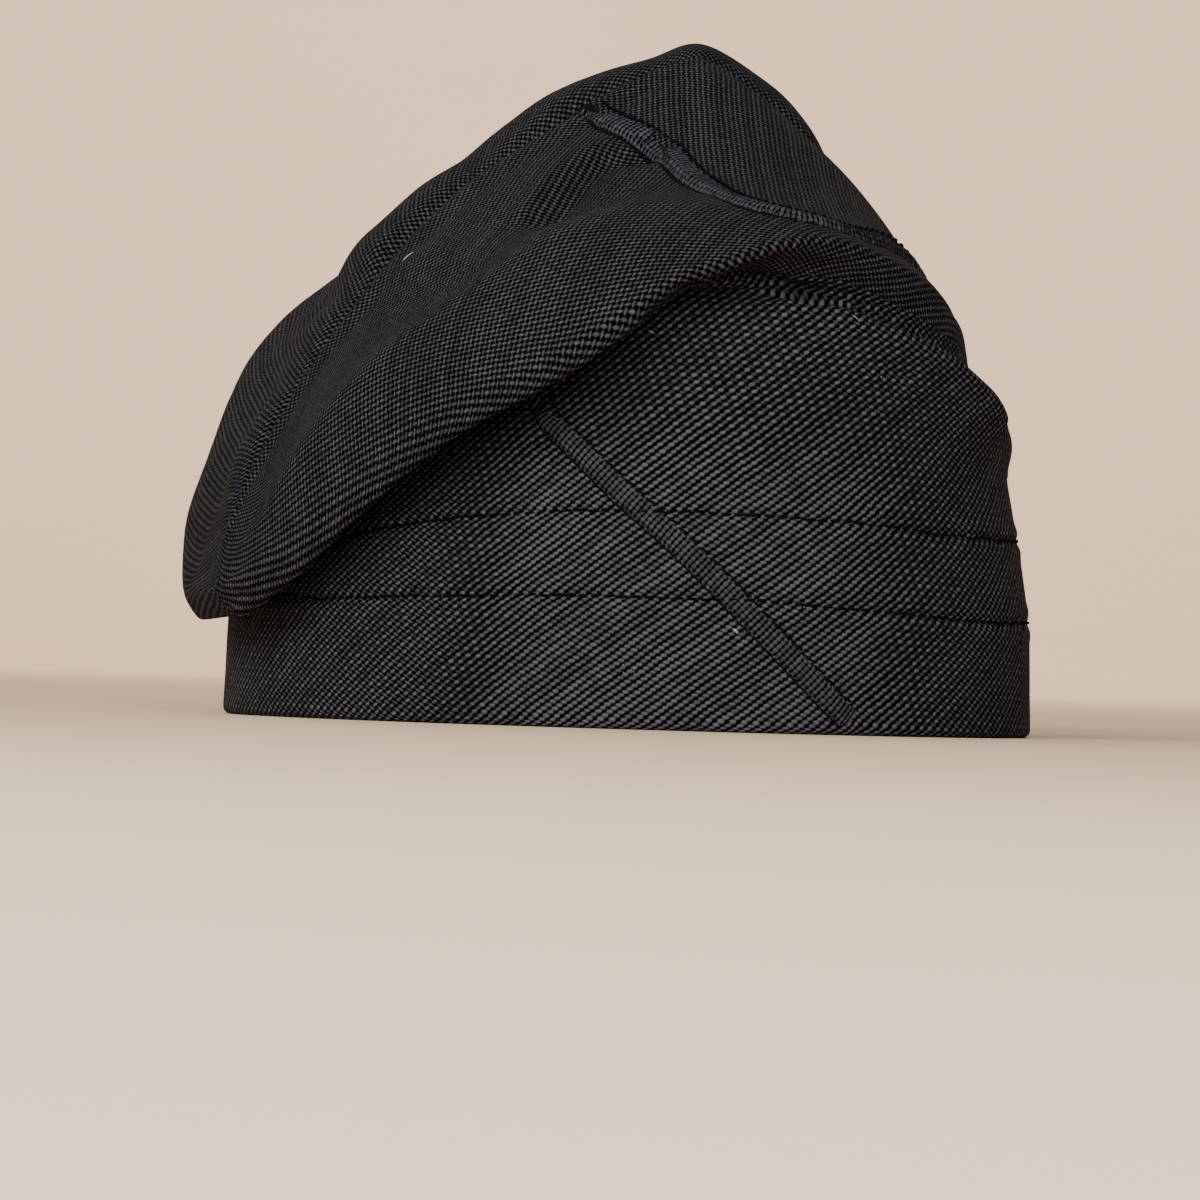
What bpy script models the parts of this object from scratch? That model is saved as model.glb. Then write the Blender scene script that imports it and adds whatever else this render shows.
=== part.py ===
# Fila cap: a soft tube of dark cloth with a turned-up hem. The top edge of the
# tube is closed flat. One of its corners droops over the wearer's right side, so
# the crown folds over the band there and steps in above it on the other side.
# Metres, +Z up, front of the cap towards -Y, wearer's right towards -X.
# Origin: under the middle of the whole cap, on the surface that the rim rests on.
import math

import bmesh
import bpy
import numpy as np

# ------------------------------------------------------------ driving sizes
HALF_WIDTH = 0.0825       # rim, side to side
HALF_LENGTH = 0.1010      # rim, front to back
RIM_X, RIM_Y = 0.0074, -0.0046   # middle of the rim: the crown leans out past it
WALL = 0.0016             # cloth
HEM_WALL = 0.0012         # turned-up layer inside the band
HEM_HEIGHT = 0.0480
GAP = 0.0003
TIP_TURN = 163.0          # where the drooping corner lies, deg from +X
EDGE_TURN = -40.0         # direction, deg from +X, that "side" is measured along
SECTIONS = 72             # sections round the rim
MM = 0.001

# The closed top edge, from the drooping corner over the peak to the far corner.
# along: fraction of its length; side and back in mm from the middle of the rim; z in mm
TOP_EDGE_COLUMNS = ("along", "side", "back", "z")
TOP_EDGE = [
    (0.00, -89.5, -38.5,  34.0),
    (0.05, -87.0, -37.0,  43.0),
    (0.13, -81.0, -34.0,  58.0),
    (0.22, -71.0, -29.0,  77.0),
    (0.33, -55.5, -23.0, 100.0),
    (0.43, -38.5, -15.0, 119.0),
    (0.53, -18.0,  -7.0, 134.0),
    (0.61,   2.0,   1.0, 147.0),
    (0.65,  12.0,   5.0, 151.0),
    (0.71,  26.0,  11.0, 144.0),
    (0.80,  43.5,  19.0, 127.5),
    (0.89,  55.5,  24.0, 109.5),
    (1.00,  61.0,  26.5,  92.0),
]

# One row for each section. turn: deg from the drooping corner, the front way
# round; the rest in mm: how far the band leans in at mid height, its shoulder,
# the fold above it, the lip of the crown (z and distance in or out of the rim
# line), and how far the crown swells out near the lip, above it and by the edge.
ROW_COLUMNS = ("turn", "mid_in", "shoulder_z", "shoulder_in", "fold_z", "fold_in",
               "lip_z", "lip_out", "swell_low", "swell_high", "swell_edge")
ROWS = [
    (  0, -5.5, 58, -10.0,  66, -12.5,  22,  13.0,  0.5,  0.5,  0.0),
    ( 15, -6.0, 62, -10.5,  70, -12.5,  30,  13.5,  3.0,  1.5,  0.5),
    ( 30, -6.5, 67, -10.5,  75, -12.0,  46,  13.0,  8.0,  4.0,  1.0),
    ( 45, -6.0, 74,  -9.5,  81, -11.0,  62,  12.5, 11.0,  5.0,  1.0),
    ( 60, -5.0, 81,  -8.5,  87, -10.0,  75,  11.0, 12.0,  3.5,  1.0),
    ( 75, -3.5, 89,  -6.5,  94,  -9.0,  94,   7.5, 10.0,  2.0,  1.0),
    ( 90, -2.5, 89,  -3.5,  94,  -7.0, 105,   1.0,  5.0,  1.0,  1.0),
    (105, -3.5, 84,  -2.0,  88,  -7.0, 100,  -6.5,  2.0,  2.0,  1.0),
    (120, -4.5, 75,  -2.5,  81,  -9.0,  94, -13.5,  1.0,  2.5,  1.0),
    (135, -6.0, 68,  -6.0,  78, -13.0,  89, -18.5,  1.0,  2.0,  0.5),
    (150, -7.0, 66,  -7.0,  78, -14.5,  87, -19.5,  1.0,  1.0,  0.5),
    (165, -6.5, 65,  -7.5,  75, -15.5,  84, -17.5,  1.0,  1.0,  0.5),
    (180, -5.5, 64,  -8.0,  72, -16.0,  80, -15.0,  0.5,  0.5,  0.0),
    (200, -4.5, 66,  -7.5,  76, -15.5,  86, -13.0,  3.0,  3.0,  2.0),
    (225, -4.5, 73,  -6.5,  83, -13.0,  93,  -7.0,  8.0, 11.0, 10.0),
    (250, -4.5, 80,  -7.0,  88, -11.0,  92,   0.0, 12.0, 17.0, 15.5),
    (275, -5.0, 80,  -8.5,  87, -11.0,  80,   7.0, 14.0, 14.5, 12.0),
    (300, -6.0, 71, -10.5,  78, -12.5,  60,  10.0, 12.0,  8.5,  6.5),
    (320, -6.0, 63, -11.0,  71, -13.5,  38,   9.5,  6.0,  4.5,  4.5),
    (338, -5.5, 58, -10.5,  66, -13.0,  21,   9.5,  1.5,  2.0,  3.0),
]

# Soft folds pressed into the crown: width and height in mm (a dent is below 0),
# and the stretch of surface that each follows, as (turn, level) pairs.
FOLDS = [
    ("pinch", 6.0, -3.0, ((100, 0.85), (96, 0.875), (88, 0.855), (80, 0.83))),
    ("bowl", 14.0, -2.5, ((82, 0.83), (88, 0.76), (92, 0.70))),
    ("brow", 9.0, 2.0, ((114, 0.95), (108, 0.87), (104, 0.80))),
]

# Rings of the mesh, as levels from the rim (0) to the closed top edge (1)
BAND_LEVELS = (0.0, 0.015, 0.05, 0.13, 0.22)
CROWN_LEVELS = (0.30, 0.345, 0.38, 0.44, 0.47, 0.49, 0.51, 0.54, 0.57, 0.60,
                0.645, 0.69, 0.75, 0.81, 0.865, 0.92, 0.96, 1.0)


# ------------------------------------------------------------ shape functions
def rim_point(turn):
    """Point of the oval rim at a turn from the drooping corner, and its outward direction."""
    a = math.radians(TIP_TURN + turn)
    c, s = math.cos(a), math.sin(a)
    r = 1.0 / math.hypot(c / HALF_WIDTH, s / HALF_LENGTH)
    out = np.array([c / HALF_WIDTH ** 2, s / HALF_LENGTH ** 2, 0.0])
    return np.array([RIM_X + c * r, RIM_Y + s * r, 0.0]), out / np.linalg.norm(out)


def row_at(turn):
    """The section row at any turn: monotone cubic between the rows, closed round the rim."""
    x = [r[0] for r in ROWS]
    v = np.array([r[1:] for r in ROWS], float)
    n = len(x)
    t = turn % 360.0
    i = max(k for k in range(n) if x[k] <= t)

    def at(k):
        return x[k % n] + 360.0 * (k // n)

    def slope(k):
        h0, h1 = at(k) - at(k - 1), at(k + 1) - at(k)
        d0 = (v[k % n] - v[(k - 1) % n]) / h0
        d1 = (v[(k + 1) % n] - v[k % n]) / h1
        m = np.zeros_like(d0)
        ok = d0 * d1 > 0
        w0, w1 = 2 * h1 + h0, h1 + 2 * h0
        m[ok] = (w0 + w1) / (w0 / d0[ok] + w1 / d1[ok])
        return m

    h = at(i + 1) - at(i)
    s = (t - at(i)) / h
    return hermite(v[i % n], v[(i + 1) % n], slope(i) * h, slope(i + 1) * h, s)


def hermite(a, b, ma, mb, s):
    return ((2 * s ** 3 - 3 * s ** 2 + 1) * a + (s ** 3 - 2 * s ** 2 + s) * ma
            + (3 * s ** 2 - 2 * s ** 3) * b + (s ** 3 - s ** 2) * mb)


def through(points, marks, t):
    """Smooth curve through points that stand at given marks."""
    p, u, n = points, marks, len(marks)
    i = min(max(sum(1 for m in u if m <= t) - 1, 0), n - 2)

    def slope(k):
        if k == 0:
            return (p[1] - p[0]) / (u[1] - u[0])
        if k == n - 1:
            return (p[-1] - p[-2]) / (u[-1] - u[-2])
        h0, h1 = u[k] - u[k - 1], u[k + 1] - u[k]
        return ((p[k] - p[k - 1]) / h0 * h1 + (p[k + 1] - p[k]) / h1 * h0) / (h0 + h1)

    h = u[i + 1] - u[i]
    return hermite(p[i], p[i + 1], slope(i) * h, slope(i + 1) * h, (t - u[i]) / h)


def edge_point(along):
    """Point of the closed top edge."""
    a = math.radians(EDGE_TURN)
    side = np.array([math.cos(a), math.sin(a), 0.0])
    back = np.array([-math.sin(a), math.cos(a), 0.0])
    foot = np.array([RIM_X, RIM_Y, 0.0])
    pts = [foot + side * r[1] * MM + back * r[2] * MM + np.array([0, 0, r[3] * MM]) for r in TOP_EDGE]
    return through(pts, [r[0] for r in TOP_EDGE], along)


def rim_lengths(steps=720):
    total, out = 0.0, [0.0]
    for k in range(steps):
        total += float(np.linalg.norm(rim_point(360.0 * (k + 1) / steps)[0]
                                      - rim_point(360.0 * k / steps)[0]))
        out.append(total)
    return [v / total for v in out]


RIM_LENGTHS = rim_lengths()


def along_edge(turn):
    """How far along the top edge a section ends: both ways round meet in pairs there."""
    t = turn % 360.0
    a = float(np.interp(t * 2.0, range(721), RIM_LENGTHS))
    b = float(np.interp((360.0 - t) * 2.0, range(721), RIM_LENGTHS))
    return 1.0 - abs(a - b)


def section(turn):
    """Marks and points of the cloth's outer face from the rim up to the top edge."""
    (mid_in, shoulder_z, shoulder_in, fold_z, fold_in,
     lip_z, lip_out, low, high, near_edge) = row_at(turn)
    base, out = rim_point(turn)
    up = np.array([0.0, 0.0, 1.0])
    edge = edge_point(along_edge(turn))

    def at(o, z):
        return base + out * (o * MM) + up * (z * MM)

    # 1 where the crown hangs over the band, 0 where it only steps in above it
    over = min(max((fold_z - lip_z + 10.0) / 20.0, 0.0), 1.0)
    drop = max(fold_z - lip_z, 0.0)

    def mix(step, hang):
        return at(step[0] + (hang[0] - step[0]) * over, step[1] + (hang[1] - step[1]) * over)

    marks = [0.0, 0.015, 0.05, 0.13, 0.22, 0.30, 0.38]
    pts = [at(0, 0), at(0, 2), at(-0.2, 8), at(mid_in * 0.14, 25), at(mid_in * 0.72, 48),
           at(mid_in, 0.5 * (48 + shoulder_z)), at(shoulder_in, shoulder_z)]
    step, rise = lip_out - fold_in, lip_z - fold_z
    marks += [0.44, 0.47, 0.51, 0.54, 0.57, 0.60]
    pts += [
        mix((fold_in, fold_z), (fold_in + 2.5, fold_z)),
        mix((fold_in + 0.18 * step, fold_z + 0.20 * rise), (fold_in + 6.5, fold_z - min(5.0, 0.4 * drop))),
        mix((fold_in + 0.40 * step, fold_z + 0.42 * rise), (lip_out - 7.5, lip_z + min(9.0, 0.5 * drop))),
        mix((fold_in + 0.62 * step, fold_z + 0.62 * rise), (lip_out - 6.0, lip_z + min(2.5, 0.15 * drop))),
        mix((fold_in + 0.84 * step, fold_z + 0.82 * rise), (lip_out - 3.0, lip_z)),
        mix((lip_out, lip_z), (lip_out, lip_z + 3.5)),
    ]
    lip = pts[-1]
    chord = edge - lip
    way = chord / np.linalg.norm(chord)
    swell = out * math.cos(math.radians(40)) + up * math.sin(math.radians(40))
    swell = swell - way * float(np.dot(swell, way))
    swell /= np.linalg.norm(swell)
    marks += [0.69, 0.81, 0.92, 1.0]
    pts += [lip + chord * 0.28 + swell * (low * MM), lip + chord * 0.60 + swell * (high * MM),
            lip + chord * 0.87 + swell * (near_edge * MM), edge]
    return marks, pts


def surface(levels, sections=SECTIONS):
    """Grid of points [section][level] of the cloth's outer face, with the soft folds."""
    grid = np.zeros((sections, len(levels), 3))
    for i in range(sections):
        marks, pts = section(360.0 * i / sections)
        for k, level in enumerate(levels):
            grid[i, k] = through(pts, marks, level)
    if levels[-1] < 1.0:
        return grid
    across = np.roll(grid, -1, axis=0) - np.roll(grid, 1, axis=0)
    upward = np.gradient(grid, axis=1)
    normal = np.cross(across, upward)
    normal /= np.maximum(np.linalg.norm(normal, axis=2, keepdims=True), 1e-12)
    lift = np.zeros(grid.shape[:2])
    for name, width, height, path in FOLDS:
        spine = []
        for turn, level in path:
            marks, pts = section(turn)
            spine.append(through(pts, marks, level))
        near = np.full(grid.shape[:2], 1.0)
        for a, b in zip(spine[:-1], spine[1:]):
            ab = b - a
            q = np.clip(((grid - a) @ ab) / float(ab @ ab), 0.0, 1.0)
            near = np.minimum(near, np.linalg.norm(grid - a - q[..., None] * ab, axis=2))
        lift += height * MM * np.exp(-(near / (width * MM)) ** 2)
    # the folds fade out below the lip and at the closed edge
    fade = np.array([min(max((v - 0.60) / 0.06, 0.0), 1.0) * min((1.0 - v) / 0.05, 1.0) for v in levels])
    return grid + normal * (lift * fade[None, :])[..., None]


# ------------------------------------------------------------ scene objects
for old in list(bpy.data.objects):
    bpy.data.objects.remove(old, do_unlink=True)

parts = bpy.data.collections.new("fila_cap")
bpy.context.scene.collection.children.link(parts)
root = bpy.data.objects.new("fila_cap_origin", None)
root.empty_display_size = 0.03
parts.objects.link(root)


def cloth(name, colour, rough):
    mat = bpy.data.materials.new(name)
    mat.use_nodes = True
    bsdf = mat.node_tree.nodes["Principled BSDF"]
    bsdf.inputs["Base Color"].default_value = (*colour, 1.0)
    bsdf.inputs["Roughness"].default_value = rough
    bsdf.inputs["Metallic"].default_value = 0.0
    return mat


def add_shell(name, grid, closed_top, wall, material):
    """Open lofted surface with Solidify: the wall grows inwards from the outer face."""
    sections, rings = grid.shape[0], grid.shape[1]
    bm = bmesh.new()
    verts = [[None] * rings for _ in range(sections)]
    for i in range(sections):
        for k in range(rings):
            if closed_top and k == rings - 1 and i > sections // 2:
                verts[i][k] = verts[sections - i][k]
            else:
                verts[i][k] = bm.verts.new(grid[i, k])
    for i in range(sections):
        j = (i + 1) % sections
        for k in range(rings - 1):
            bm.faces.new((verts[i][k], verts[j][k], verts[j][k + 1], verts[i][k + 1]))
    bmesh.ops.triangulate(bm, faces=bm.faces[:], quad_method="SHORT_EDGE")
    mesh = bpy.data.meshes.new(name)
    bm.to_mesh(mesh)
    bm.free()
    mesh.materials.append(material)
    mesh.shade_smooth()
    obj = bpy.data.objects.new(name, mesh)
    parts.objects.link(obj)
    obj.parent = root
    shell = obj.modifiers.new("wall", "SOLIDIFY")
    shell.thickness = wall
    shell.offset = -1.0
    shell.use_even_offset = False
    shell.use_rim = True
    return obj


# The cap itself: band, folded crown and closed top edge are one tube of cloth.
cap_grid = surface(BAND_LEVELS + CROWN_LEVELS)
add_shell("cap_body", cap_grid, True, WALL, cloth("black_cloth", (0.022, 0.021, 0.023), 0.9))

# The hem: the cloth turned up inside the band, held by two rows of stitches.
rings = len(BAND_LEVELS)
face_in = -np.cross(np.roll(cap_grid, -1, axis=0) - np.roll(cap_grid, 1, axis=0),
                    np.gradient(cap_grid, axis=1))[:, :rings]
face_in[:, :2, 2] = 0.0                       # the foot of the hem stands upright
face_in /= np.linalg.norm(face_in, axis=2, keepdims=True)
hem_grid = cap_grid[:, :rings] + face_in * (WALL + GAP + 0.00015)
add_shell("hem_band", hem_grid, False, HEM_WALL, cloth("black_hem", (0.020, 0.019, 0.021), 0.92))
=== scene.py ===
import math

import bmesh
import bpy
import numpy as np
from mathutils import Matrix, Vector, noise


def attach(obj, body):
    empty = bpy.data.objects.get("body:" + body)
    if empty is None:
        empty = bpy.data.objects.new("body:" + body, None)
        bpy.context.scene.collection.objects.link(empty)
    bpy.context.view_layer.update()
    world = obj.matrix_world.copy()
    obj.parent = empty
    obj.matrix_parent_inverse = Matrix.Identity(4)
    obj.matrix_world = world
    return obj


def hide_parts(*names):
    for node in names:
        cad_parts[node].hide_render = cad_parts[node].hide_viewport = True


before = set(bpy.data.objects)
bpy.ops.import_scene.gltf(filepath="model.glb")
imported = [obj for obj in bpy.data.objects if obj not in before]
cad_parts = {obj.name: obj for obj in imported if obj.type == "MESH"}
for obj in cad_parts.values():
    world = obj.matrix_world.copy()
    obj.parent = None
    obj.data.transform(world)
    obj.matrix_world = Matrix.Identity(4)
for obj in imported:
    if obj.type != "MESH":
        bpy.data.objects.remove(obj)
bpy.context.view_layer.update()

# ---------------------------------------------------------------- sizes, as in the part
HALF_WIDTH, HALF_LENGTH = 0.0825, 0.1010
RIM_X, RIM_Y = 0.0074, -0.0046
WALL, HEM_WALL = 0.0016, 0.0012
TIP_TURN, EDGE_TURN = 163.0, -40.0
MM = 0.001

# along, side, back, z of the closed top edge
TOP_EDGE = [
    (0.00, -89.5, -38.5,  34.0), (0.05, -87.0, -37.0,  43.0), (0.13, -81.0, -34.0,  58.0),
    (0.22, -71.0, -29.0,  77.0), (0.33, -55.5, -23.0, 100.0), (0.43, -38.5, -15.0, 119.0),
    (0.53, -18.0,  -7.0, 134.0), (0.61,   2.0,   1.0, 147.0), (0.65,  12.0,   5.0, 151.0),
    (0.71,  26.0,  11.0, 144.0), (0.80,  43.5,  19.0, 127.5), (0.89,  55.5,  24.0, 109.5),
    (1.00,  61.0,  26.5,  92.0),
]

# turn, mid_in, shoulder_z, shoulder_in, fold_z, fold_in, lip_z, lip_out, swell_low, swell_high, swell_edge
ROWS = [
    (  0, -5.5, 58, -10.0,  66, -12.5,  22,  13.0,  0.5,  0.5,  0.0),
    ( 15, -6.0, 62, -10.5,  70, -12.5,  30,  13.5,  3.0,  1.5,  0.5),
    ( 30, -6.5, 67, -10.5,  75, -12.0,  46,  13.0,  8.0,  4.0,  1.0),
    ( 45, -6.0, 74,  -9.5,  81, -11.0,  62,  12.5, 11.0,  5.0,  1.0),
    ( 60, -5.0, 81,  -8.5,  87, -10.0,  75,  11.0, 12.0,  3.5,  1.0),
    ( 75, -3.5, 89,  -6.5,  94,  -9.0,  94,   7.5, 10.0,  2.0,  1.0),
    ( 90, -2.5, 89,  -3.5,  94,  -7.0, 105,   1.0,  5.0,  1.0,  1.0),
    (105, -3.5, 84,  -2.0,  88,  -7.0, 100,  -6.5,  2.0,  2.0,  1.0),
    (120, -4.5, 75,  -2.5,  81,  -9.0,  94, -13.5,  1.0,  2.5,  1.0),
    (135, -6.0, 68,  -6.0,  78, -13.0,  89, -18.5,  1.0,  2.0,  0.5),
    (150, -7.0, 66,  -7.0,  78, -14.5,  87, -19.5,  1.0,  1.0,  0.5),
    (165, -6.5, 65,  -7.5,  75, -15.5,  84, -17.5,  1.0,  1.0,  0.5),
    (180, -5.5, 64,  -8.0,  72, -16.0,  80, -15.0,  0.5,  0.5,  0.0),
    (200, -4.5, 66,  -7.5,  76, -15.5,  86, -13.0,  3.0,  3.0,  2.0),
    (225, -4.5, 73,  -6.5,  83, -13.0,  93,  -7.0,  8.0, 11.0, 10.0),
    (250, -4.5, 80,  -7.0,  88, -11.0,  92,   0.0, 12.0, 17.0, 15.5),
    (275, -5.0, 80,  -8.5,  87, -11.0,  80,   7.0, 14.0, 14.5, 12.0),
    (300, -6.0, 71, -10.5,  78, -12.5,  60,  10.0, 12.0,  8.5,  6.5),
    (320, -6.0, 63, -11.0,  71, -13.5,  38,   9.5,  6.0,  4.5,  4.5),
    (338, -5.5, 58, -10.5,  66, -13.0,  21,   9.5,  1.5,  2.0,  3.0),
]

# Folds pressed into the cloth: width, height in mm, path as (turn, level)
FOLDS = [
    ("pinch",   4.6, -3.1, ((99, 0.86), (94, 0.875), (87, 0.857), (80, 0.835))),
    ("pinch_lip", 4.0, 1.2, ((96, 0.90), (88, 0.89), (80, 0.865))),
    ("bowl",   14.0, -1.8, ((82, 0.83), (88, 0.76), (92, 0.70))),
    ("brow",    9.0,  1.2, ((114, 0.95), (108, 0.87), (104, 0.80))),
    ("crease_flap", 6.0, 0.9, ((64, 0.97), (68, 0.895), (70.3, 0.815), (70, 0.70))),
    ("under_flap", 8.0, -0.7, ((57, 0.95), (60, 0.88), (63, 0.80))),
    ("far_bump_a", 7.0, 1.6, ((297.5, 0.99), (297, 0.93), (294, 0.86))),
    ("far_dent_a", 6.0, -1.6, ((303, 0.99), (304, 0.92), (302, 0.84))),
    ("far_dent_b", 9.0, -1.8, ((279, 0.98), (280, 0.90), (282, 0.80))),
    ("far_bump_b", 9.0, 1.6, ((266, 0.98), (267, 0.90), (270, 0.80))),
    ("far_dent_c", 8.0, -1.4, ((255, 0.97), (254, 0.88), (252, 0.78))),
    ("far_dent_d", 10.0, -1.5, ((320, 0.97), (318, 0.86), (315, 0.74))),
    ("side_soft", 12.0, -1.2, ((140, 0.93), (150, 0.80), (158, 0.68))),
    ("side_ridge", 10.0, 1.2, ((128, 0.95), (134, 0.82), (140, 0.70))),
    ("back_soft_a", 13.0, -1.6, ((215, 0.92), (208, 0.80), (200, 0.66))),
    ("back_soft_b", 11.0, 1.3, ((236, 0.90), (232, 0.78), (228, 0.66))),
]


# Sharper creases and pressed ridges where crown and band meet: width, height, path
CREASES = [
    (2.0, -3.0, ((73, 0.583), (79, 0.512), (84, 0.470), (88, 0.440), (91, 0.415))),
    (2.4,  0.9, ((60, 0.600), (70, 0.605), (76, 0.608), (82.3, 0.598), (89, 0.568), (97.3, 0.556), (104.7, 0.552), (116, 0.55), (130, 0.55))),
    (2.2,  0.8, ((89, 0.395), (96.3, 0.38), (103.3, 0.375), (111, 0.3775), (117.3, 0.3725), (126, 0.365))),
    (1.1, -0.7, ((86, 0.3525), (89.7, 0.3475), (95.7, 0.345), (99.3, 0.3425), (104, 0.341))),
    (1.8,  0.8, ((87.7, 0.44), (86, 0.3775))),
    (2.6, -1.5, ((93, 0.445), (104, 0.445), (118, 0.45), (135, 0.455), (155, 0.46))),
    (2.0,  0.8, ((8, 0.597), (25, 0.597), (45, 0.597), (60, 0.600))),
    (1.7,  1.4, ((3, 0.578), (15, 0.578), (30, 0.578), (45, 0.579), (60, 0.582), (68, 0.586))),
]


# ---------------------------------------------------------------- surface functions
def rim_point(turn):
    a = math.radians(TIP_TURN + turn)
    c, s = math.cos(a), math.sin(a)
    r = 1.0 / math.hypot(c / HALF_WIDTH, s / HALF_LENGTH)
    out = np.array([c / HALF_WIDTH ** 2, s / HALF_LENGTH ** 2, 0.0])
    return np.array([RIM_X + c * r, RIM_Y + s * r, 0.0]), out / np.linalg.norm(out)


def hermite(a, b, ma, mb, s):
    return ((2 * s ** 3 - 3 * s ** 2 + 1) * a + (s ** 3 - 2 * s ** 2 + s) * ma
            + (3 * s ** 2 - 2 * s ** 3) * b + (s ** 3 - s ** 2) * mb)


ROW_X = [r[0] for r in ROWS]
ROW_V = np.array([r[1:] for r in ROWS], float)


def row_at(turn):
    n = len(ROW_X)
    t = turn % 360.0
    i = max(k for k in range(n) if ROW_X[k] <= t)

    def at(k):
        return ROW_X[k % n] + 360.0 * (k // n)

    def slope(k):
        h0, h1 = at(k) - at(k - 1), at(k + 1) - at(k)
        d0 = (ROW_V[k % n] - ROW_V[(k - 1) % n]) / h0
        d1 = (ROW_V[(k + 1) % n] - ROW_V[k % n]) / h1
        m = np.zeros_like(d0)
        ok = d0 * d1 > 0
        w0, w1 = 2 * h1 + h0, h1 + 2 * h0
        m[ok] = (w0 + w1) / (w0 / d0[ok] + w1 / d1[ok])
        return m

    h = at(i + 1) - at(i)
    return hermite(ROW_V[i % n], ROW_V[(i + 1) % n], slope(i) * h, slope(i + 1) * h, (t - at(i)) / h)


def through(points, marks, levels):
    """Smooth curve through points at given marks, at many levels at once."""
    p, u = np.asarray(points, float), np.asarray(marks, float)
    t = np.atleast_1d(np.asarray(levels, float))
    h = np.diff(u)
    d = np.diff(p, axis=0) / h[:, None]
    m = np.empty_like(p)
    m[0], m[-1] = d[0], d[-1]
    m[1:-1] = (d[:-1] * h[1:, None] + d[1:] * h[:-1, None]) / (h[:-1] + h[1:])[:, None]
    i = np.clip(np.searchsorted(u, t, side="right") - 1, 0, len(u) - 2)
    s = ((t - u[i]) / h[i])[:, None]
    return hermite(p[i], p[i + 1], m[i] * h[i][:, None], m[i + 1] * h[i][:, None], s)


EDGE_A = math.radians(EDGE_TURN)
EDGE_SIDE = np.array([math.cos(EDGE_A), math.sin(EDGE_A), 0.0])
EDGE_BACK = np.array([-math.sin(EDGE_A), math.cos(EDGE_A), 0.0])
EDGE_PTS = [np.array([RIM_X, RIM_Y, 0.0]) + EDGE_SIDE * r[1] * MM + EDGE_BACK * r[2] * MM
            + np.array([0, 0, r[3] * MM]) for r in TOP_EDGE]
EDGE_MARKS = [r[0] for r in TOP_EDGE]
RIM_XY = np.array([rim_point(0.5 * k)[0] for k in range(721)])
RIM_RUN = np.concatenate([[0.0], np.cumsum(np.linalg.norm(np.diff(RIM_XY, axis=0), axis=1))])
RIM_ROUND = float(RIM_RUN[-1])
EDGE_LINE = through(EDGE_PTS, EDGE_MARKS, np.linspace(0, 1, 400))
EDGE_LONG = float(np.linalg.norm(np.diff(EDGE_LINE, axis=0), axis=1).sum())


def rim_run(turn):
    return float(np.interp((turn % 360.0) * 2.0, range(721), RIM_RUN)) + RIM_ROUND * (turn // 360.0)


def along_edge(turn):
    a = rim_run(turn % 360.0) / RIM_ROUND
    return 1.0 - abs(2.0 * a - 1.0)


def section(turn):
    (mid_in, shoulder_z, shoulder_in, fold_z, fold_in,
     lip_z, lip_out, low, high, near_edge) = row_at(turn)
    base, out = rim_point(turn)
    up = np.array([0.0, 0.0, 1.0])
    edge = through(EDGE_PTS, EDGE_MARKS, along_edge(turn))[0]

    def at(o, z):
        return base + out * (o * MM) + up * (z * MM)

    over = min(max((fold_z - lip_z + 10.0) / 20.0, 0.0), 1.0)
    drop = max(fold_z - lip_z, 0.0)

    def mix(step, hang):
        return at(step[0] + (hang[0] - step[0]) * over, step[1] + (hang[1] - step[1]) * over)

    marks = [0.0, 0.015, 0.05, 0.13, 0.22, 0.30, 0.38]
    pts = [at(0, 0), at(0, 2), at(-0.2, 8), at(mid_in * 0.14, 25), at(mid_in * 0.72, 48),
           at(mid_in, 0.5 * (48 + shoulder_z)), at(shoulder_in, shoulder_z)]
    step, rise = lip_out - fold_in, lip_z - fold_z
    marks += [0.44, 0.47, 0.51, 0.54, 0.57, 0.60]
    pts += [
        mix((fold_in, fold_z), (fold_in + 2.5, fold_z)),
        mix((fold_in + 0.18 * step, fold_z + 0.20 * rise), (fold_in + 6.5, fold_z - min(5.0, 0.4 * drop))),
        mix((fold_in + 0.40 * step, fold_z + 0.42 * rise), (lip_out - 7.5, lip_z + min(9.0, 0.5 * drop))),
        mix((fold_in + 0.62 * step, fold_z + 0.62 * rise), (lip_out - 6.0, lip_z + min(2.5, 0.15 * drop))),
        mix((fold_in + 0.84 * step, fold_z + 0.82 * rise), (lip_out - 3.0, lip_z)),
        mix((lip_out, lip_z), (lip_out, lip_z + 3.5)),
    ]
    lip = pts[-1]
    chord = edge - lip
    way = chord / np.linalg.norm(chord)
    swell = out * math.cos(math.radians(40)) + up * math.sin(math.radians(40))
    swell = swell - way * float(np.dot(swell, way))
    swell /= np.linalg.norm(swell)
    marks += [0.69, 0.81, 0.92, 1.0]
    pts += [lip + chord * 0.28 + swell * (low * MM), lip + chord * 0.60 + swell * (high * MM),
            lip + chord * 0.87 + swell * (near_edge * MM), edge]
    return marks, pts


def normals_of(grid):
    across = np.roll(grid, -1, axis=0) - np.roll(grid, 1, axis=0)
    upward = np.gradient(grid, axis=1)
    n = np.cross(across, upward)
    return n / np.maximum(np.linalg.norm(n, axis=2, keepdims=True), 1e-12)


def near_path(grid, path_pts):
    """Distance of every grid point to a polyline."""
    near = np.full(grid.shape[:2], 1.0)
    for a, b in zip(path_pts[:-1], path_pts[1:]):
        ab = b - a
        q = np.clip(((grid - a) @ ab) / max(float(ab @ ab), 1e-12), 0.0, 1.0)
        near = np.minimum(near, np.linalg.norm(grid - a - q[..., None] * ab, axis=2))
    return near


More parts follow.
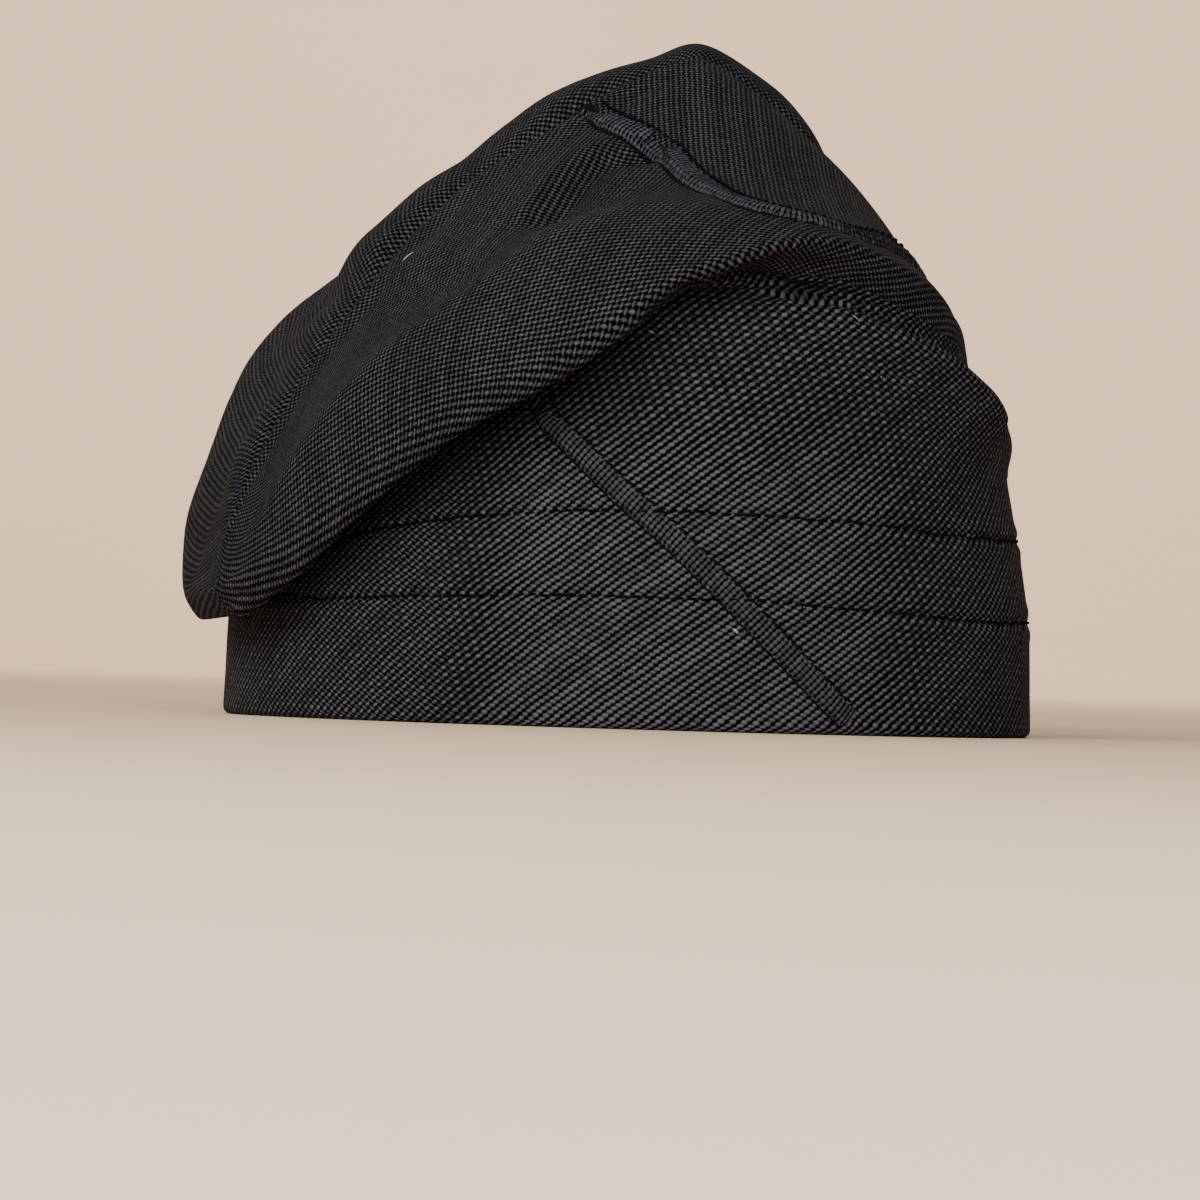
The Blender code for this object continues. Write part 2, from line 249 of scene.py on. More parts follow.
def on_surface(path, steps=12):
    """Turns and levels along a (turn, level) path."""
    t = np.array([p[0] for p in path], float)
    v = np.array([p[1] for p in path], float)
    m = np.linspace(0, 1, len(path))
    tl = through(np.stack([t, v], 1), m, np.linspace(0, 1, steps * (len(path) - 1) + 1))
    return tl


def soft_noise(pts, scale, seed):
    """Smooth noise of amplitude about 1 at points in metres; scale in metres."""
    flat = pts.reshape(-1, 3) / scale + seed
    return np.array([noise.noise(Vector(p)) for p in flat]).reshape(pts.shape[:-1])


def smooth01(x):
    x = np.clip(x, 0.0, 1.0)
    return x * x * (3 - 2 * x)


# ---------------------------------------------------------------- seams and stitch rows
SEAM_A = [(50.5, 0.335), (52.0, 0.312), (56.0, 0.283), (63.0, 0.2325), (68.3, 0.205), (72.7, 0.1825),
          (77.3, 0.155), (82.0, 0.1225), (86.7, 0.0875), (90.3, 0.0575), (94.3, 0.02), (96.0, 0.008)]
SEAM_A_TOP = [(30.0, 0.43), (38.0, 0.40), (44.5, 0.372)]
SEAM_B = [(101.0, 0.990), (100.5, 0.9575), (100.0, 0.9275), (100.0, 0.8925), (99.8, 0.868), (99.3, 0.8475),
          (96.0, 0.7975), (94.0, 0.76), (91.0, 0.71), (88.5, 0.672), (88.6, 0.652), (90.7, 0.640),
          (94.3, 0.636), (99.3, 0.638), (107.3, 0.648), (116.0, 0.655), (126.0, 0.652), (136.0, 0.640),
          (146.0, 0.625)]
ROW_1 = [(0, 27.0), (12, 26.0), (30, 27.0), (44, 27.5), (55, 28.0), (63, 28.2), (71, 28.0), (84, 28.0),
         (94, 27.0), (104, 26.2), (112, 25.4), (122, 25.0), (150, 25.5), (180, 26.5), (210, 27.5), (250, 27.0),
         (300, 26.0), (335, 26.5), (360, 27.0)]
ROW_2 = [(0, 37.0), (13, 38.5), (24, 41.5), (32, 43.0), (46, 45.0), (57, 46.0), (64, 46.4), (73, 46.4),
         (81, 46.2), (93, 45.5), (103, 44.5), (110, 43.5), (125, 43.0), (150, 43.5), (180, 44.5), (210, 45.0),
         (250, 44.0), (300, 42.0), (335, 38.5), (360, 37.0)]

# ---------------------------------------------------------------- fine grid of the cloth
SECTIONS = 640
BAND_TOP = 0.485
BAND_LEVELS = np.concatenate([
    np.linspace(0.02, 0.30, 74)[:-1], np.linspace(0.30, 0.38, 20)[:-1], np.linspace(0.38, BAND_TOP, 24)])
CROWN_LEVELS = np.concatenate([
    np.linspace(BAND_TOP, 0.60, 30)[:-1], np.linspace(0.60, 0.69, 30)[:-1],
    np.linspace(0.69, 0.97, 68)[:-1], np.linspace(0.97, 1.0, 12)])
ALL_LEVELS = np.concatenate([[0.0, 0.01], BAND_LEVELS, CROWN_LEVELS[1:]])
nb = len(BAND_LEVELS) + 2
TURNS = np.arange(SECTIONS) * 360.0 / SECTIONS

base = np.zeros((SECTIONS, len(ALL_LEVELS), 3))
for i, turn in enumerate(TURNS):
    marks, pts = section(turn)
    base[i] = through(pts, marks, ALL_LEVELS)
normal = normals_of(base)

lift = np.zeros(base.shape[:2])
fade = np.clip((ALL_LEVELS - 0.60) / 0.06, 0, 1) * np.clip((1.0 - ALL_LEVELS) / 0.045, 0, 1)
for name, width, height, path in FOLDS:
    tl = on_surface(path, 4)
    spine = [through(*section(t)[::-1], v)[0] for t, v in tl]
    near = near_path(base, spine)
    own_side = (TURNS > 182.0) == (path[0][0] > 182.0)
    lift += height * MM * np.exp(-(near / (width * MM)) ** 2) * fade[None, :] * own_side[:, None]

for width, height, path in CREASES:
    tl = on_surface(path, 5)
    spine = [through(*section(t)[::-1], v)[0] for t, v in tl]
    near = near_path(base, spine)
    lift += height * MM * np.exp(-(near / (width * MM)) ** 2)

# soft unevenness of worn cloth: slow swells, finer in the crown than in the band
coarse_i = np.arange(0, SECTIONS, 4)
sample = base[coarse_i][:, ::3]
slow = soft_noise(sample, 0.030, 7.3)
fine = soft_noise(sample, 0.012, 21.9)
lv_s = ALL_LEVELS[::3]


def upsample(a):
    full = np.zeros((SECTIONS, len(ALL_LEVELS)))
    cols = np.array([np.interp(ALL_LEVELS, lv_s, row) for row in a])
    ext = np.vstack([cols, cols[:1]])
    xs = np.concatenate([coarse_i, [SECTIONS]])
    for k in range(full.shape[1]):
        full[:, k] = np.interp(np.arange(SECTIONS), xs, ext[:, k])
    return full


slow, fine = upsample(slow), upsample(fine)
in_crown = smooth01((ALL_LEVELS - 0.58) / 0.10)
off_floor = smooth01((ALL_LEVELS - 0.03) / 0.10)
near_edge = smooth01((1.0 - ALL_LEVELS) / 0.03)
far_side = smooth01((TURNS - 190.0) / 25.0) * smooth01((352.0 - TURNS) / 12.0)
lift += ((0.9 * slow + 0.35 * fine) * MM * (0.45 + 0.55 * in_crown)[None, :]
         * (off_floor * near_edge)[None, :] * (0.42 + 1.0 * far_side[:, None] * in_crown[None, :]))

# the far panel dips just behind the pressed top edge
lift -= 2.6 * MM * far_side[:, None] * (np.exp(-((1.0 - ALL_LEVELS) / 0.016 - 1.0) ** 2))[None, :]
near_side = smooth01(TURNS / 6.0) * smooth01((176.0 - TURNS) / 6.0)
lift += 0.35 * MM * near_side[:, None] * (np.exp(-((1.0 - ALL_LEVELS) / 0.010 - 1.0) ** 2))[None, :]
lift -= 0.40 * MM * near_side[:, None] * (np.exp(-((1.0 - ALL_LEVELS) / 0.012 - 3.6) ** 2))[None, :]

# the hem doubles the cloth: a faint step outside at its upper edge, and a groove at each row
z_here = base[..., 2]
low_band = (ALL_LEVELS < 0.30)[None, :]
for row, depth in ((ROW_1, 0.55), (ROW_2, 0.60)):
    zt = np.interp(TURNS, [r[0] for r in row], [r[1] for r in row]) * MM
    wave = np.array([noise.noise(Vector((t * 0.55, 3.0, depth * 9))) for t in TURNS]) * 0.35 * MM
    zt = zt + wave
    d = z_here - zt[:, None]
    pucker = np.array([0.75 + 0.25 * math.sin(t * 2 * math.pi / 2.2) for t in TURNS])[:, None]
    lift -= np.where(low_band, 1.35 * depth * MM * pucker * np.exp(-(d / 0.00080) ** 2), 0.0)
    lift += np.where(low_band, 0.28 * MM * np.exp(-((np.abs(d) - 0.0026) / 0.0014) ** 2), 0.0)
    if depth > 0.57:
        lift -= np.where(low_band, 0.25 * MM * smooth01((d - 0.0015) / 0.002), 0.0) * off_floor[None, :]

# band: soft upright fold in front
d_front = (TURNS - 80.5)
lift += (0.9 * MM * np.exp(-(d_front / 5.0) ** 2))[:, None] * (smooth01((ALL_LEVELS - 0.10) / 0.15)
                                                              * smooth01((0.42 - ALL_LEVELS) / 0.08))[None, :]

# seams: the upper layer laps over, with a step down at its cut edge
seam_side = {}
for key, path, tall, body in (("A", SEAM_A_TOP + SEAM_A, 0.40, 3.2), ("B", SEAM_B, 0.95, 4.4)):
    tl = on_surface(path, 5)
    spine = np.array([through(*section(t)[::-1], v)[0] for t, v in tl])
    near = near_path(base, list(spine))
    # side: right of the path as it runs (towards larger turns, or above)
    turn_of = np.interp(ALL_LEVELS, np.sort(tl[:, 1]), tl[np.argsort(tl[:, 1]), 0])
    if key == "A":
        upper = TURNS[:, None] > turn_of[None, :]
        inside = (ALL_LEVELS < 0.44)[None, :] & (np.abs(TURNS[:, None] - 70) < 60)
    else:
        low_level = np.interp(TURNS, tl[10:, 0][tl[10:, 0].argsort()], tl[10:, 1][tl[10:, 0].argsort()])
        rising = tl[tl[:, 1] > 0.66]
        rise_turn = np.interp(ALL_LEVELS, rising[::-1, 1], rising[::-1, 0])
        tail = tl[(tl[:, 1] < 0.66) & (tl[:, 0] > 88.4)]
        order = np.argsort(tail[:, 0])
        low_level = np.interp(TURNS, tail[order, 0], tail[order, 1])
        upper = (((ALL_LEVELS > 0.66)[None, :] & (TURNS[:, None] > rise_turn[None, :]))
                 | ((ALL_LEVELS <= 0.66)[None, :] & (TURNS[:, None] > 88.4) & (ALL_LEVELS[None, :] > low_level[:, None])))
        inside = (ALL_LEVELS > 0.60)[None, :] & (np.abs(TURNS[:, None] - 105) < 50)
    s = np.where(upper, near, -near)
    seam_side[key] = np.where(inside, s, np.where(upper & (ALL_LEVELS > 0.6)[None, :] & (TURNS[:, None] > 105), 0.03, -0.03))
    on = tall * MM * smooth01(s / 0.0009 + 0.5) * smooth01((body * 1.9 * MM - s) / (body * 1.0 * MM))
    dip = -(0.45 if key == "A" else 0.70) * MM * np.exp(-((s + 0.0006) / 0.00065) ** 2)
    lift += np.where(inside, on + dip, 0.0)

outer = base + normal * lift[..., None]

# cloth coordinates: how far round and how far up, in mm
up_run = np.concatenate([np.zeros((SECTIONS, 1)),
                         np.cumsum(np.linalg.norm(np.diff(base, axis=1), axis=2), axis=1)], axis=1) / MM


def thread_coords(turn_i, k0, k1):
    """Two thread counters for the grid columns k0..k1 of section turn_i (turn_i may be SECTIONS: the wrap)."""
    i = turn_i % SECTIONS
    u = rim_run(turn_i * 360.0 / SECTIONS) / MM
    v = up_run[i, k0:k1]
    return u, v


def band_pq(i, k0, k1):
    u, v = thread_coords(i, k0, k1)
    per_p, per_q = RIM_ROUND / MM / 228.0, RIM_ROUND / MM / 246.0
    shift = smooth01((seam_side["A"][i % SECTIONS, k0:k1] - 0.0010) / 0.0012)
    p = u / per_p - v / (per_p * math.tan(math.radians(37))) + 0.45 * shift
    q = u / per_q + v / (per_q * math.tan(math.radians(27))) + 0.5 * shift - 0.03 * v * shift
    return p, q


def crown_pq(i, k0, k1):
    t = i * 360.0 / SECTIONS
    a = along_edge(t) * EDGE_LONG / MM
    u = a if t <= 180.0 else 2 * EDGE_LONG / MM - a
    if i == SECTIONS:
        u = 2 * EDGE_LONG / MM
    v = up_run[i % SECTIONS, k0:k1] - up_run[i % SECTIONS, -1]
    left = (u / 2.20 - v / 1.43, u / 1.13 + v / 1.68)
    right = (u / 1.18 - v / 2.00 + 9.3, u / 1.52 + v / 1.48 + 4.1)
    if t > 180.0:
        w = np.ones(len(v))
    else:
        w = smooth01((seam_side["B"][i % SECTIONS, k0:k1] - 0.0010) / 0.0012)
    return left[0] * (1 - w) + right[0] * w, left[1] * (1 - w) + right[1] * w


# ---------------------------------------------------------------- materials
def socket(bsdf, name, value):
    if name in bsdf.inputs:
        bsdf.inputs[name].default_value = value


class Nodes:
    """Short helper for building math node chains."""

    def __init__(self, tree):
        self.t, self.n, self.l = tree, tree.nodes, tree.links

    def put(self, sock, value):
        if isinstance(value, (int, float)):
            sock.default_value = value
        else:
            self.l.new(value, sock)

    def math(self, op, a, b=0.0, c=0.0, clamp=False):
        m = self.n.new("ShaderNodeMath")
        m.operation = op
        m.use_clamp = clamp
        self.put(m.inputs[0], a)
        self.put(m.inputs[1], b)
        if len(m.inputs) > 2:
            self.put(m.inputs[2], c)
        return m.outputs[0]

    def noise(self, vec, scale, detail=2.0, rough=0.5):
        m = self.n.new("ShaderNodeTexNoise")
        m.inputs["Scale"].default_value = scale
        m.inputs["Detail"].default_value = detail
        m.inputs["Roughness"].default_value = rough
        self.l.new(vec, m.inputs["Vector"])
        return m.outputs["Fac"]

    def white(self, a, b):
        c = self.n.new("ShaderNodeCombineXYZ")
        self.put(c.inputs[0], a)
        self.put(c.inputs[1], b)
        m = self.n.new("ShaderNodeTexWhiteNoise")
        m.noise_dimensions = "2D"
        self.l.new(c.outputs[0], m.inputs["Vector"])
        return m.outputs["Value"]

    def remap(self, v, a, b, c, d, smooth=False):
        m = self.n.new("ShaderNodeMapRange")
        m.interpolation_type = "SMOOTHSTEP" if smooth else "LINEAR"
        self.put(m.inputs[0], v)
        for k, x in enumerate((a, b, c, d)):
            m.inputs[k + 1].default_value = x
        return m.outputs[0]


def weave_material(name, width_p=0.86, width_q=0.80, lift_p=0.62, lift_q=0.55,
                   top=(0.106, 0.1035, 0.124), gap=(0.0006, 0.0006, 0.0007), bump=1.0,
                   bump_mm=0.62, roughness=0.80, sheen=0.0, wobble=0.16):
    mat = bpy.data.materials.new(name)
    mat.use_nodes = True
    g = Nodes(mat.node_tree)
    bsdf = mat.node_tree.nodes["Principled BSDF"]
    look = g.n.new("ShaderNodeUVMap")
    look.uv_map = "look"
    lsep = g.n.new("ShaderNodeSeparateXYZ")
    g.l.new(look.outputs[0], lsep.inputs[0])
    rib = lsep.outputs[0]
    uv = g.n.new("ShaderNodeUVMap")
    uv.uv_map = "weave"
    sep = g.n.new("ShaderNodeSeparateXYZ")
    g.l.new(uv.outputs[0], sep.inputs[0])
    tex = g.n.new("ShaderNodeTexCoord")
    obj = tex.outputs["Object"]
    # threads wander a little
    n1 = g.noise(obj, 95.0, 1.0)
    n2 = g.noise(obj, 320.0, 1.0)
    shift = g.n.new("ShaderNodeVectorMath")
    shift.operation = "ADD"
    g.l.new(obj, shift.inputs[0])
    shift.inputs[1].default_value = (3.7, 1.9, 5.3)
    n3 = g.noise(shift.outputs[0], 95.0, 1.0)
    n4 = g.noise(shift.outputs[0], 320.0, 1.0)
    p = g.math("ADD", sep.outputs[0], g.math("MULTIPLY", g.math("SUBTRACT", n1, 0.5), 2.4 * wobble))
    p = g.math("ADD", p, g.math("MULTIPLY", g.math("SUBTRACT", n2, 0.5), 1.1 * wobble))
    q = g.math("ADD", sep.outputs[1], g.math("MULTIPLY", g.math("SUBTRACT", n3, 0.5), 2.4 * wobble))
    q = g.math("ADD", q, g.math("MULTIPLY", g.math("SUBTRACT", n4, 0.5), 1.1 * wobble))
    i, j = g.math("FLOOR", p), g.math("FLOOR", q)
    a = g.math("SUBTRACT", g.math("FRACT", p), 0.5)
    b = g.math("SUBTRACT", g.math("FRACT", q), 0.5)
    parity = g.math("MODULO", g.math("ADD", g.math("ADD", i, j), 4000.0), 2.0)
    sign = g.math("SUBTRACT", 1.0, g.math("MULTIPLY", parity, 2.0))        # +1: p thread on top
    arch_b = g.math("COSINE", g.math("MULTIPLY", b, math.pi))
    arch_a = g.math("COSINE", g.math("MULTIPLY", a, math.pi))
    zp = g.math("MULTIPLY", g.math("MULTIPLY", sign, arch_b), 0.34)
    zq = g.math("MULTIPLY", g.math("MULTIPLY", sign, arch_a), -0.34)
    cord = g.math("ADD", 0.26, g.math("MULTIPLY", g.math("COSINE", g.math("MULTIPLY", b, 2 * math.pi)), 0.24))
    zp = g.math("ADD", zp, g.math("MULTIPLY", rib, g.math("SUBTRACT", cord, zp)))
    zq = g.math("SUBTRACT", zq, g.math("MULTIPLY", rib, 0.42))
    fat = g.math("ADD", g.math("ADD", 0.90, g.math("MULTIPLY", rib, 0.14)), g.math("MULTIPLY", g.white(i, 3.0), 0.2))
    ra = g.math("DIVIDE", a, g.math("MULTIPLY", fat, 0.5 * width_p))
    rb = g.math("DIVIDE", b, 0.5 * width_q)
    pp = g.math("SUBTRACT", 1.0, g.math("MULTIPLY", ra, ra))
    pq = g.math("SUBTRACT", 1.0, g.math("MULTIPLY", rb, rb))
    hp = g.math("ADD", zp, g.math("MULTIPLY", pp, lift_p))
    hq = g.math("ADD", zq, g.math("MULTIPLY", pq, lift_q))
    h = g.math("MAXIMUM", g.math("MAXIMUM", hp, hq), -0.45)
    # plies of the yarn and loose fibres
    ply_p = g.math("SINE", g.math("MULTIPLY", g.math("ADD", g.math("MULTIPLY", b, 3.0), g.math("MULTIPLY", a, 1.6)), 2 * math.pi))
    fibre = g.noise(obj, 2600.0, 2.0, 0.7)
    h2 = g.math("ADD", h, g.math("MULTIPLY", ply_p, 0.05))
    h2 = g.math("ADD", h2, g.math("MULTIPLY", g.math("SUBTRACT", fibre, 0.5), 0.55))
    # colour: near-black gaps between the threads, partly the dark yarn below and partly painted shade in the gaps,
    # lighter thread tops, each bead a little its own
    level = g.math("POWER", g.remap(h2, 0.14, 1.02, 0.0, 1.0, True), 1.55)
    bead = g.white(i, j)
    own = g.math("ADD", 0.70, g.math("MULTIPLY", bead, 0.42))
    own = g.math("MULTIPLY", own, g.math("ADD", 0.84, g.math("MULTIPLY", g.white(i, 11.0), 0.32)))
    broad = g.math("ADD", 0.80, g.math("MULTIPLY", g.noise(obj, 38.0, 3.0, 0.55), 0.42))
    worn = g.remap(g.noise(obj, 160.0, 2.0, 0.6), 0.58, 0.80, 1.0, 1.35)
    own = g.math("MULTIPLY", g.math("MULTIPLY", own, broad), worn)
    light = g.math("MULTIPLY", level, own)
    mix = g.n.new("ShaderNodeMix")
    mix.data_type = "RGBA"
    g.l.new(light, mix.inputs[0])
    mix.inputs[6].default_value = (*gap, 1.0)
    mix.inputs[7].default_value = (*top, 1.0)
    g.l.new(mix.outputs[2], bsdf.inputs["Base Color"])
    rough = g.math("ADD", roughness - 0.05, g.math("MULTIPLY", fibre, 0.10))
    g.l.new(rough, bsdf.inputs["Roughness"])
    bm = g.n.new("ShaderNodeBump")
    bm.inputs["Strength"].default_value = bump
    bm.inputs["Distance"].default_value = bump_mm * MM
    g.l.new(h2, bm.inputs["Height"])
    g.l.new(bm.outputs[0], bsdf.inputs["Normal"])
    socket(bsdf, "Specular IOR Level", 0.02)
    socket(bsdf, "Sheen Weight", sheen)
    socket(bsdf, "Sheen Roughness", 0.45)
    socket(bsdf, "Sheen Tint", (0.55, 0.54, 0.56, 1.0))
    return mat


def thread_material(name, colour, pitch=900.0, sheen=0.1):
    mat = bpy.data.materials.new(name)
    mat.use_nodes = True
    g = Nodes(mat.node_tree)
    bsdf = mat.node_tree.nodes["Principled BSDF"]
    tex = g.n.new("ShaderNodeTexCoord")
    obj = tex.outputs["Object"]
    n1 = g.noise(obj, pitch, 2.0, 0.6)
    n2 = g.noise(obj, 60.0, 1.0)
    w = g.math("MULTIPLY", g.remap(n1, 0.3, 0.7, 0.35, 1.25), g.remap(n2, 0.3, 0.7, 0.8, 1.2))
    mix = g.n.new("ShaderNodeMix")
    mix.data_type = "RGBA"
    g.l.new(g.math("MULTIPLY", w, 0.8), mix.inputs[0])
    mix.inputs[6].default_value = (colour[0] * 0.25, colour[1] * 0.25, colour[2] * 0.25, 1.0)
    mix.inputs[7].default_value = (*colour, 1.0)
    g.l.new(mix.outputs[2], bsdf.inputs["Base Color"])
    g.l.new(g.remap(n1, 0.0, 1.0, 0.70, 0.9), bsdf.inputs["Roughness"])
    bm = g.n.new("ShaderNodeBump")
    bm.inputs["Strength"].default_value = 0.6
    bm.inputs["Distance"].default_value = 0.15 * MM
    g.l.new(n1, bm.inputs["Height"])
    g.l.new(bm.outputs[0], bsdf.inputs["Normal"])
    socket(bsdf, "Sheen Weight", sheen)
    socket(bsdf, "Specular IOR Level", 0.02)
    return mat


MAT_BAND = weave_material("cloth_band", width_p=0.72, width_q=0.66, lift_p=0.66, lift_q=0.50)
# the crown's thread tops are set darker than the band's: painted shade on the crown, standing in for less light falling
# on it
MAT_CROWN = weave_material("cloth_crown", width_p=0.66, width_q=0.70, lift_p=0.55, lift_q=0.62,
                           top=(0.086, 0.0825, 0.0995))
MAT_HEM = weave_material("cloth_hem", width_p=0.82, width_q=0.82, lift_p=0.55, lift_q=0.55,
                         top=(0.050, 0.048, 0.056), roughness=0.88)
MAT_TAPE = weave_material("seam_edge", width_p=0.84, width_q=0.70, lift_p=0.75, lift_q=0.30,
                          top=(0.078, 0.0745, 0.091), wobble=0.10)
# dark thread; the painted shadow lines along the seam edges are made of it too
MAT_THREAD_AND_SHADOW_LINE = thread_material("sewing_thread_and_shadow_line", (0.006, 0.0055, 0.007), sheen=0.0)
MAT_FUZZ = thread_material("loose_fibre", (0.060, 0.058, 0.060), sheen=0.1)
MAT_LINT = thread_material("pale_lint", (0.62, 0.61, 0.60))


# ---------------------------------------------------------------- mesh helpers
def make_object(name, verts, faces, material, uvs=None, smooth=True, look=None):
    mesh = bpy.data.meshes.new(name)
    mesh.from_pydata([tuple(v) for v in verts], [], faces)
    mesh.materials.append(material)
    if smooth:
        mesh.shade_smooth()
    layer = mesh.uv_layers.new(name="weave")
    if uvs is not None:
        flat = np.asarray(uvs, np.float32).reshape(-1)
        layer.data.foreach_set("uv", flat)
    second = mesh.uv_layers.new(name="look")
    ends = np.zeros(len(mesh.loops), np.int32)
    mesh.loops.foreach_get("vertex_index", ends)
    share = np.zeros((len(mesh.loops), 2), np.float32)
    if look is not None:
        share[:, 0] = look(np.asarray(verts, float))[ends]
    second.data.foreach_set("uv", share.reshape(-1))
    mesh.validate()
    mesh.update()
    obj = bpy.data.objects.new(name, mesh)
    bpy.context.scene.collection.objects.link(obj)
    return obj


def rib_share(v):
    """Where the threads that rise to the right stand out as cords: the front of the band."""
    turn = (np.degrees(np.arctan2(v[:, 1] - RIM_Y, v[:, 0] - RIM_X)) - TIP_TURN) % 360.0
    f = smooth01((turn - 34.0) / 22.0) * smooth01((116.0 - turn) / 26.0)
    low = smooth01((0.080 - v[:, 2]) / 0.036)
    return 0.95 * f * (0.34 + 0.66 * low)


def sharpen(obj, ids):
    """Marks the edges whose two ends are both in ids as sharp."""
    mesh = obj.data
    flags = np.zeros(len(mesh.edges), bool)
    ends = np.zeros(len(mesh.edges) * 2, np.int32)
    mesh.edges.foreach_get("vertices", ends)
    mask = np.zeros(len(mesh.vertices), bool)
    mask[list(ids)] = True
    flags = mask[ends[::2]] & mask[ends[1::2]]
    layer = mesh.attributes.get("sharp_edge") or mesh.attributes.new("sharp_edge", "BOOLEAN", "EDGE")
    layer.data.foreach_set("value", flags)


def shell_object(name, out_grid, in_grid, pq_of, material, close_ridge=False, step=4, look=None):
    """Closed cloth: a fine outer grid [section][ring], a coarser inner one, joined along both borders."""
    S, K = out_grid.shape[:2]
    inner_i = list(range(0, S, step))
    si, ki = len(inner_i), in_grid.shape[1]
    verts, faces, uvs = [], [], []
    oid = np.zeros((S, K), int)
    for i in range(S):
        for k in range(K):
            if close_ridge and k == K - 1 and i > S // 2:
                oid[i, k] = oid[S - i, k]
            else:
                oid[i, k] = len(verts)
                verts.append(out_grid[i, k])
    iid = np.zeros((si, ki), int)
    for a, i in enumerate(inner_i):
        for k in range(ki):
            if close_ridge and k == ki - 1 and i > S // 2:
                iid[a, k] = iid[si - a, k]
            else:
                iid[a, k] = len(verts)
                verts.append(in_grid[i, k])
    pq = [pq_of(i) for i in range(S + 1)]
    pq = [np.stack(x, 1) for x in pq]
    for i in range(S):
        j = (i + 1) % S
        for k in range(K - 1):
            quad = [(oid[i, k], pq[i][k]), (oid[j, k], pq[i + 1][k]),
                    (oid[j, k + 1], pq[i + 1][k + 1]), (oid[i, k + 1], pq[i][k + 1])]
            seen, ids, cs = set(), [], []
            for v, c in quad:
                if v not in seen:
                    seen.add(v); ids.append(int(v)); cs.append(c)
            if len(ids) >= 3:
                faces.append(ids)
                uvs.extend(cs)
    inner_k = np.linspace(0, K - 1, ki).round().astype(int)
    for a in range(si):
        b = (a + 1) % si
        ia, ib = inner_i[a], inner_i[a] + step
        for k in range(ki - 1):
            quad = [(iid[a, k], pq[ia][inner_k[k]]), (iid[a, k + 1], pq[ia][inner_k[k + 1]]),
                    (iid[b, k + 1], pq[ib][inner_k[k + 1]]), (iid[b, k], pq[ib][inner_k[k]])]
            seen, ids, cs = set(), [], []
            for v, c in quad:
                if v not in seen:
                    seen.add(v); ids.append(int(v)); cs.append(c)
            if len(ids) >= 3:
                faces.append(ids)
                uvs.extend(cs)
        borders = [(0, 0, False)] if close_ridge else [(0, 0, False), (K - 1, ki - 1, True)]
        for ko, kk, flip in borders:
            vi0, vi1 = int(iid[a, kk]), int(iid[b, kk])
            half = step // 2
            for s in range(step):
                o0, o1 = int(oid[(ia + s) % S, ko]), int(oid[(ia + s + 1) % S, ko])
                anchor = vi0 if s < half else vi1
                tri = [o1, o0, anchor]
                cs = [pq[ia + s + 1][ko], pq[ia + s][ko], pq[ia if s < half else ib][ko]]
                if flip:
                    tri, cs = tri[::-1], cs[::-1]
                faces.append(tri); uvs.extend(cs)
            om = int(oid[(ia + half) % S, ko])
            tri = [om, vi0, vi1]
            cs = [pq[ia + half][ko], pq[ia][ko], pq[ib][ko]]
            if flip:
                tri, cs = tri[::-1], cs[::-1]
            faces.append(tri); uvs.extend(cs)
    obj = make_object(name, verts, faces, material, uvs, look=look)
    if close_ridge:
        sharpen(obj, set(int(v) for v in oid[:, K - 1]))
    return obj


def tube(verts, faces, pts, radius, sides=6, taper=True):
    """Adds a small closed tube along points."""
    pts = [np.asarray(p, float) for p in pts]
    n = len(pts)
    rings = []
    ref = np.array([0.31, 0.52, 0.79])
    for k, p in enumerate(pts):
        d = pts[min(k + 1, n - 1)] - pts[max(k - 1, 0)]
        d = d / max(np.linalg.norm(d), 1e-12)
        u = np.cross(d, ref); u /= max(np.linalg.norm(u), 1e-9)
        v = np.cross(d, u)
        r = radius
        if taper and (k == 0 or k == n - 1):
            r = radius * 0.45
        ring = []
        for s in range(sides):
            ang = 2 * math.pi * s / sides
            ring.append(len(verts))
            verts.append(p + u * (r * math.cos(ang)) + v * (r * math.sin(ang)))
        rings.append(ring)
    for a, b in zip(rings[:-1], rings[1:]):
        for s in range(sides):
            t = (s + 1) % sides
            faces.append([a[s], a[t], b[t], b[s]])
    faces.append(rings[0][::-1])
    faces.append(rings[-1])


def surf(turn, level):
    x = (turn % 360.0) * SECTIONS / 360.0
    i = int(x) % SECTIONS
    j = (i + 1) % SECTIONS
    f = x - int(x)
    k = int(np.clip(np.searchsorted(ALL_LEVELS, level) - 1, 0, len(ALL_LEVELS) - 2))
    h = (level - ALL_LEVELS[k]) / (ALL_LEVELS[k + 1] - ALL_LEVELS[k])
    h = min(max(h, 0.0), 1.0)

    def at(g):
        return ((g[i, k] * (1 - f) + g[j, k] * f) * (1 - h) + (g[i, k + 1] * (1 - f) + g[j, k + 1] * f) * h)
    nn = at(normal)
    return at(outer), nn / np.linalg.norm(nn)


def level_at_z(turn, z):
    i = int((turn % 360.0) * SECTIONS / 360.0) % SECTIONS
    zs = outer[i, :60, 2]
    return float(np.interp(z, zs, ALL_LEVELS[:60]))


# ---------------------------------------------------------------- the band, with its turned rim
inner_off = WALL * 0.94
in_lift = normal * np.minimum(lift, 0.0)[..., None] * 0.9
in_band = base + in_lift - normal * inner_off
out_list, in_list = [], []
roll = [(-3.20, 2.9), (-3.25, 1.7), (-3.02, 0.75), (-2.45, 0.2), (-1.65, 0.0), (-0.85, 0.18), (-0.22, 0.75), (0.0, 1.5)]
roll_in = [(-2.15, 2.9), (-2.1, 1.9), (-1.62, 1.45)]
k_first = 2
foot = np.array([rim_point(t)[0] for t in TURNS])
foot_out = np.array([rim_point(t)[1] for t in TURNS])
upv = np.array([0.0, 0.0, 1.0])
wob = np.array([noise.noise(Vector((math.cos(math.radians(t)) * 3, math.sin(math.radians(t)) * 3, 8.0))) for t in TURNS]) * 0.12
out_rings = [foot + foot_out * (o * MM) + upv * ((z + (wob[:, None] if z > 0.5 else 0.0)) * MM) for o, z in roll]
band_outer = np.concatenate([np.stack(out_rings, 1), outer[:, k_first:nb]], axis=1)
